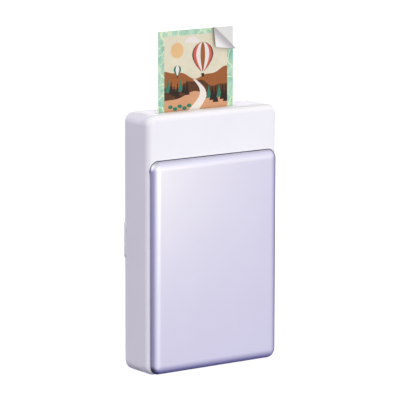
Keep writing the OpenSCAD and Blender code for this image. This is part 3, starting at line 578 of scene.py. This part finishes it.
def draw_picture():
    """Two balloons over wooded hills and a pale river, in the warm tones of an old holiday snap."""
    draw("sky", "cream", box(0, 0, PAGE_WIDTH, PAGE_HEIGHT))
    draw("sun", "glow", oval(12.5, 11, 4.2, 4.2))
    for i, (x, y, size) in enumerate(CLOUDS):
        draw(f"cloud_{i}", "white", oval(x, y, 1.5 * size, 0.72 * size))
    draw("far_hills", "rust", ridge(level=24.5, rise=2.2, waves=1.3, shift=0.4))
    draw("middle_hills", "brown", ridge(level=30, rise=2.0, waves=1.7, shift=2.6))
    draw("near_hills", "tan", ridge(level=37.5, rise=2.6, waves=0.9, shift=5.2))
    draw("river", "white", winding(x=23, y=27.5, length=46))

    # Rows of firs and shrubs, with their feet and heights a little uneven
    for i in range(7):
        tree = conifer(x=6.4 + 2.1 * i, foot=33.5 + 1.1 * (i % 4), high=8.5 - 1.3 * (i % 3), wide=3.6)
        draw(f"left_tree_{i}", "umber" if i % 4 else "teal", tree)
    for i in range(6):
        tree = conifer(x=33.6 + 2.3 * i, foot=38.5 + 1.3 * (i % 3), high=7.2 + 1.1 * (i % 3), wide=4.0)
        draw(f"right_tree_{i}", "umber" if i % 3 else "teal", tree)
    for i in range(5):
        draw(f"shrub_{i}", "teal", oval(8 + 3.1 * i, 41.6 + 1.2 * (i % 2), 1.5, 1.0))

    for i, outline in enumerate(gores(x=29.5, y=14.6, radius=7.0, count=len(BALLOON))):
        draw(f"balloon_{i}", BALLOON[i], outline)
    draw("basket", "umber", box(left=28.5, top=24.6, right=30.5, low=26.4, taper=0.3))
    for i, outline in enumerate(gores(x=12.6, y=21.6, radius=2.4, count=len(SMALL_BALLOON))):
        draw(f"small_balloon_{i}", SMALL_BALLOON[i], outline)
    draw("small_basket", "umber", box(left=12.2, top=25.1, right=13.0, low=25.8, taper=0.1))


draw_picture()

# ---------------------------------------------------------------- light and floor


def area_light(name, place, target, size, power, tint=(1, 1, 1), shape="DISK"):
    """Soft lamp turned from its place to its target, all in metres, with its power in watts."""
    data = bpy.data.lights.new(name, "AREA")
    data.shape = shape
    data.size = size
    data.energy = power
    data.color = tint
    lamp = bpy.data.objects.new(name, data)
    bpy.context.collection.objects.link(lamp)
    lamp.location = place
    lamp.rotation_euler = (Vector(target) - Vector(place)).to_track_quat("-Z", "Y").to_euler()


# Soft boxes in the studio's dome: azimuth and elevation in degrees, with 0 to the object's right and -90 in
# front of it, the cosines between which the light rises to full, and its strength in red, green and blue
SOFT_BOXES = (
    (-94, -5, 0.7, 1.0, (0.68, 0.68, 0.6)),
    (-80, 10, 0.3, 0.8, (0.15, 0.15, 0.3)),
    (-58, -16, 0.65, 1.0, (0.38, 0.36, 0.14)),
    (-54, 40, 0.5, 1.0, (0.8, 0.8, 0.7)),
    (-54, -42, 0.5, 1.0, (0.03, 0.04, 0.3)),
    (-150, 10, 0.7, 1.0, (0.2, 0.17, 0.45)),
    (-160, 38, 0.6, 1.0, (1.1, 1.15, 0.75)),
    (150, 30, 0.5, 1.0, (0.6, 0.5, 0.85)),
    (10, 5, 0.3, 0.9, (0.4, 0.35, 0.5)),
    (75, 0, 0.75, 1.0, (2.0, 2.0, 2.0)),
)


def toward(azimuth, elevation):
    """Direction of an azimuth and an elevation in degrees."""
    turn, lift = math.radians(azimuth), math.radians(elevation)
    return Vector((math.cos(turn) * math.cos(lift), math.sin(turn) * math.cos(lift), math.sin(lift)))


def make_dome():
    """World light that adds up the soft boxes."""
    world = bpy.data.worlds.new("studio")
    bpy.context.scene.world = world
    world.use_nodes = True
    tree = world.node_tree
    view = tree.nodes.new("ShaderNodeTexCoord").outputs["Generated"]
    total = None
    for azimuth, elevation, start, end, power in SOFT_BOXES:
        cosine = tree.nodes.new("ShaderNodeVectorMath")
        cosine.operation = "DOT_PRODUCT"
        cosine.inputs[1].default_value = toward(azimuth, elevation)
        tree.links.new(view, cosine.inputs[0])
        fade = tree.nodes.new("ShaderNodeMapRange")
        fade.interpolation_type = "SMOOTHSTEP"
        fade.inputs["From Min"].default_value = start
        fade.inputs["From Max"].default_value = end
        tree.links.new(cosine.outputs["Value"], fade.inputs["Value"])
        glow = tree.nodes.new("ShaderNodeVectorMath")
        glow.operation = "MULTIPLY_ADD"
        tree.links.new(fade.outputs["Result"], glow.inputs[0])
        glow.inputs[1].default_value = power
        glow.inputs[2].default_value = (0, 0, 0)
        if total:
            tree.links.new(total, glow.inputs[2])
        total = glow.outputs["Vector"]
    tree.links.new(total, tree.nodes["Background"].inputs["Color"])


# How far the floor reaches, in metres, so that a low view meets it all the way to the horizon, and how much
# light it gives, which brings it to white
FLOOR_REACH = 40.0
FLOOR_GLOW = 0.75


def make_floor():
    """Plain pale floor that neither lights the printer nor shades it from the dome's lower half."""
    mesh = bpy.data.meshes.new("floor")
    reach = FLOOR_REACH
    corners = [(-reach, -reach, 0), (reach, -reach, 0), (reach, reach, 0), (-reach, reach, 0)]
    mesh.from_pydata(corners, [], [(0, 1, 2, 3)])
    floor = bpy.data.objects.new("floor", mesh)
    bpy.context.collection.objects.link(floor)
    floor.visible_diffuse = False
    floor.visible_glossy = False
    floor.visible_shadow = False
    shader = Shader("floor", 0.9, gloss=0.1)
    shader.color(shader.clouds(WHITE, 0.93, 0.95, scale=3))
    shader.inputs["Emission Color"].default_value = WHITE
    shader.inputs["Emission Strength"].default_value = FLOOR_GLOW
    mesh.materials.append(shader.material)


make_dome()
make_floor()
area_light("key", (0.02, -0.4, 0.17), target=(0, 0, 0.07), size=0.3, power=0.16, shape="SQUARE")
area_light("sheen", (0.12, -0.37, 0.08), target=(0, 0, 0.1), size=0.12, power=0.06, tint=(1.0, 0.95, 0.25))
bpy.context.scene.view_settings.view_transform = "Standard"
